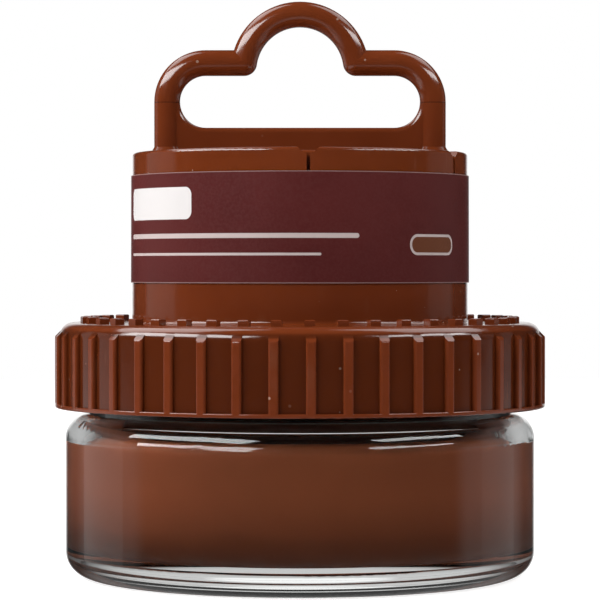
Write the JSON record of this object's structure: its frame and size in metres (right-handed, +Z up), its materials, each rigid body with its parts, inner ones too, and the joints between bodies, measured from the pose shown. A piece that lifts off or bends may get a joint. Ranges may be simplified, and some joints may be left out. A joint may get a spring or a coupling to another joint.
{
  "type": "shoe cream jar with applicator lid",
  "caption": "Round glass jar of brown shoe cream with a ribbed screw lid, a cup on the lid, and a sponge applicator with a hanger loop standing in the cup.",
  "frame": {"origin": "centre of the jar's foot, in the plane it stands on", "axes": "+Z up along the jar's axis; the hanger loop lies in the XZ plane; -Y is the front"},
  "size_m": [0.0584, 0.0584, 0.0685],
  "materials": {
    "clear_glass": "gloss",
    "cream": "gloss",
    "brown_plastic": "gloss",
    "liner": "matte",
    "label": "satin",
    "adhesive": "satin",
    "sponge": "matte"
  },
  "bodies": {
    "jar": {"glass_jar": "clear_glass", "shoe_cream": "cream"},
    "liner": {"lid_liner": "liner"},
    "lid": {"screw_lid": "brown_plastic", "wrap_label": "label"},
    "applicator": {"applicator_handle": "brown_plastic", "sponge_adhesive": "adhesive", "applicator_sponge": "sponge"}
  },
  "joints": [
    {"name": "lid_rise", "type": "slide", "parent": "jar", "child": "liner", "axis": [0, 0, 1], "range_m": [0, 0.01051]},
    {"name": "lid_turn", "type": "hinge", "parent": "liner", "child": "lid", "pos_m": [0, 0, 0.025], "axis": [0, 0, 1], "range_deg": [0, 900]},
    {"name": "applicator_pull", "type": "slide", "parent": "lid", "child": "applicator", "axis": [0, 0, 1], "range_m": [0, 0.024]}
  ],
  "couplings": [
    {"joint": "lid_rise", "follows": "lid_turn", "m_per_rad": 0.00066845}
  ]
}
